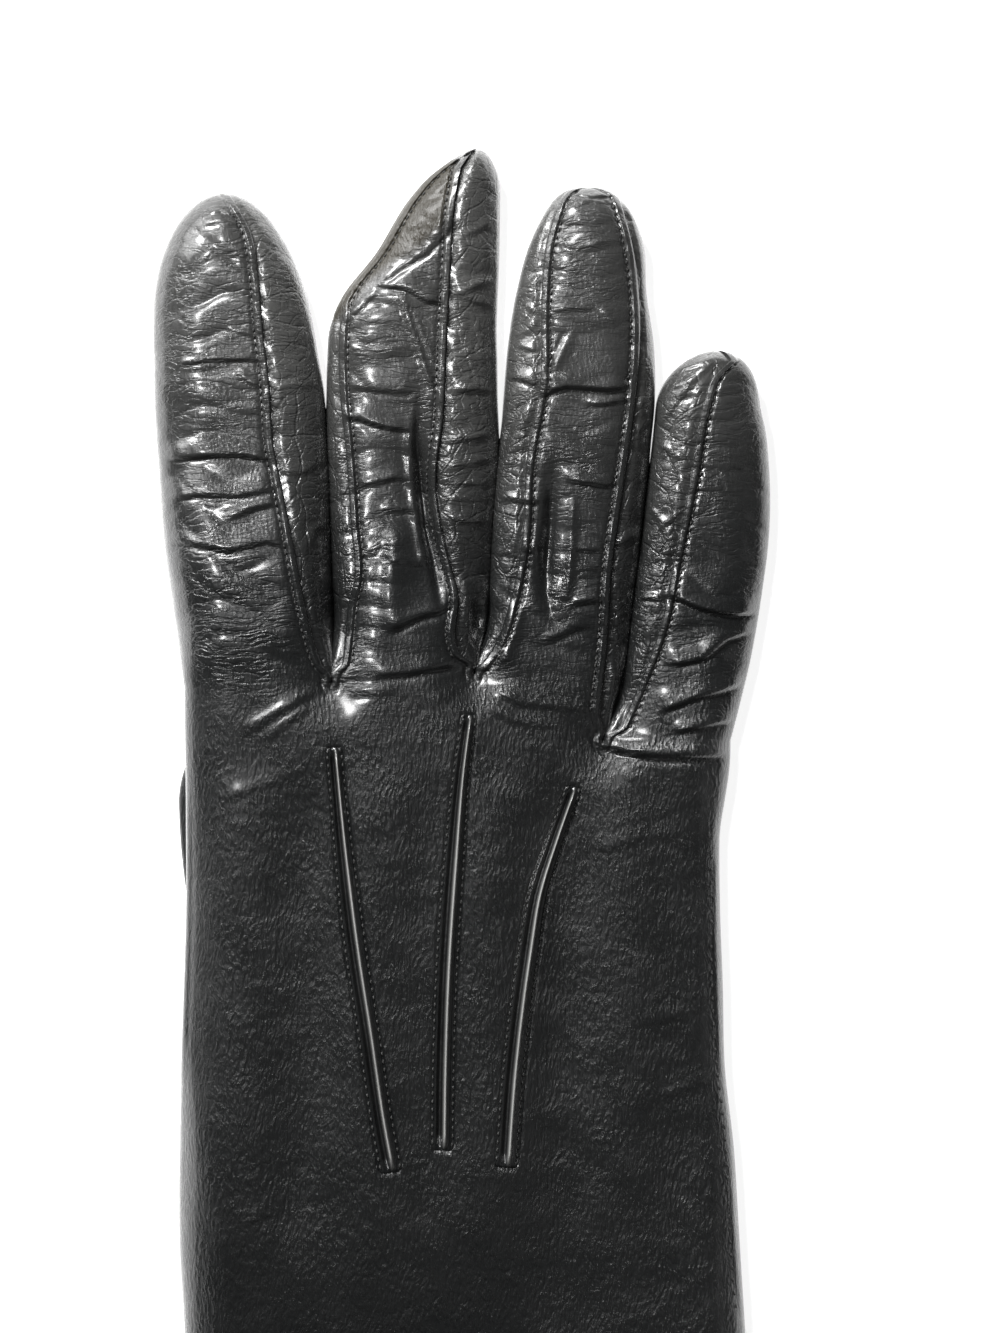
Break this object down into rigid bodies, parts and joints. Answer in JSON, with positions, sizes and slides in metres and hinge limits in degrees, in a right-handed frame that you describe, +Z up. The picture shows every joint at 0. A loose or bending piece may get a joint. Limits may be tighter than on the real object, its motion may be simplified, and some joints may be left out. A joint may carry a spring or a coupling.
{
  "type": "leather opera glove",
  "caption": "Long right-hand dress glove in black leather, lying flat with its back up, with forked side strips between the fingers, stitched ribs and a tucked thumb.",
  "frame": {"origin": "middle of the flattened glove's bounding box, on the surface that it lies on", "axes": "+Y towards the fingertips, +Z up out of the back of the hand, +X towards the little finger"},
  "size_m": [0.136, 0.5596, 0.0146],
  "materials": {
    "leather_skin": "smooth black glove leather, soft sheen, fine grain",
    "leather_side": "smooth black glove leather, finely creased",
    "leather_rib": "black glove leather, stitched and slightly burnished"
  },
  "bodies": {
    "root": {"trank": "leather_skin", "thumb": "leather_skin", "fourchette_index_middle": "leather_side", "fourchette_middle_ring": "leather_side", "fourchette_ring_little": "leather_side", "point_rib_index": "leather_rib", "point_rib_middle": "leather_rib", "point_rib_ring": "leather_rib"}
  },
  "joints": []
}
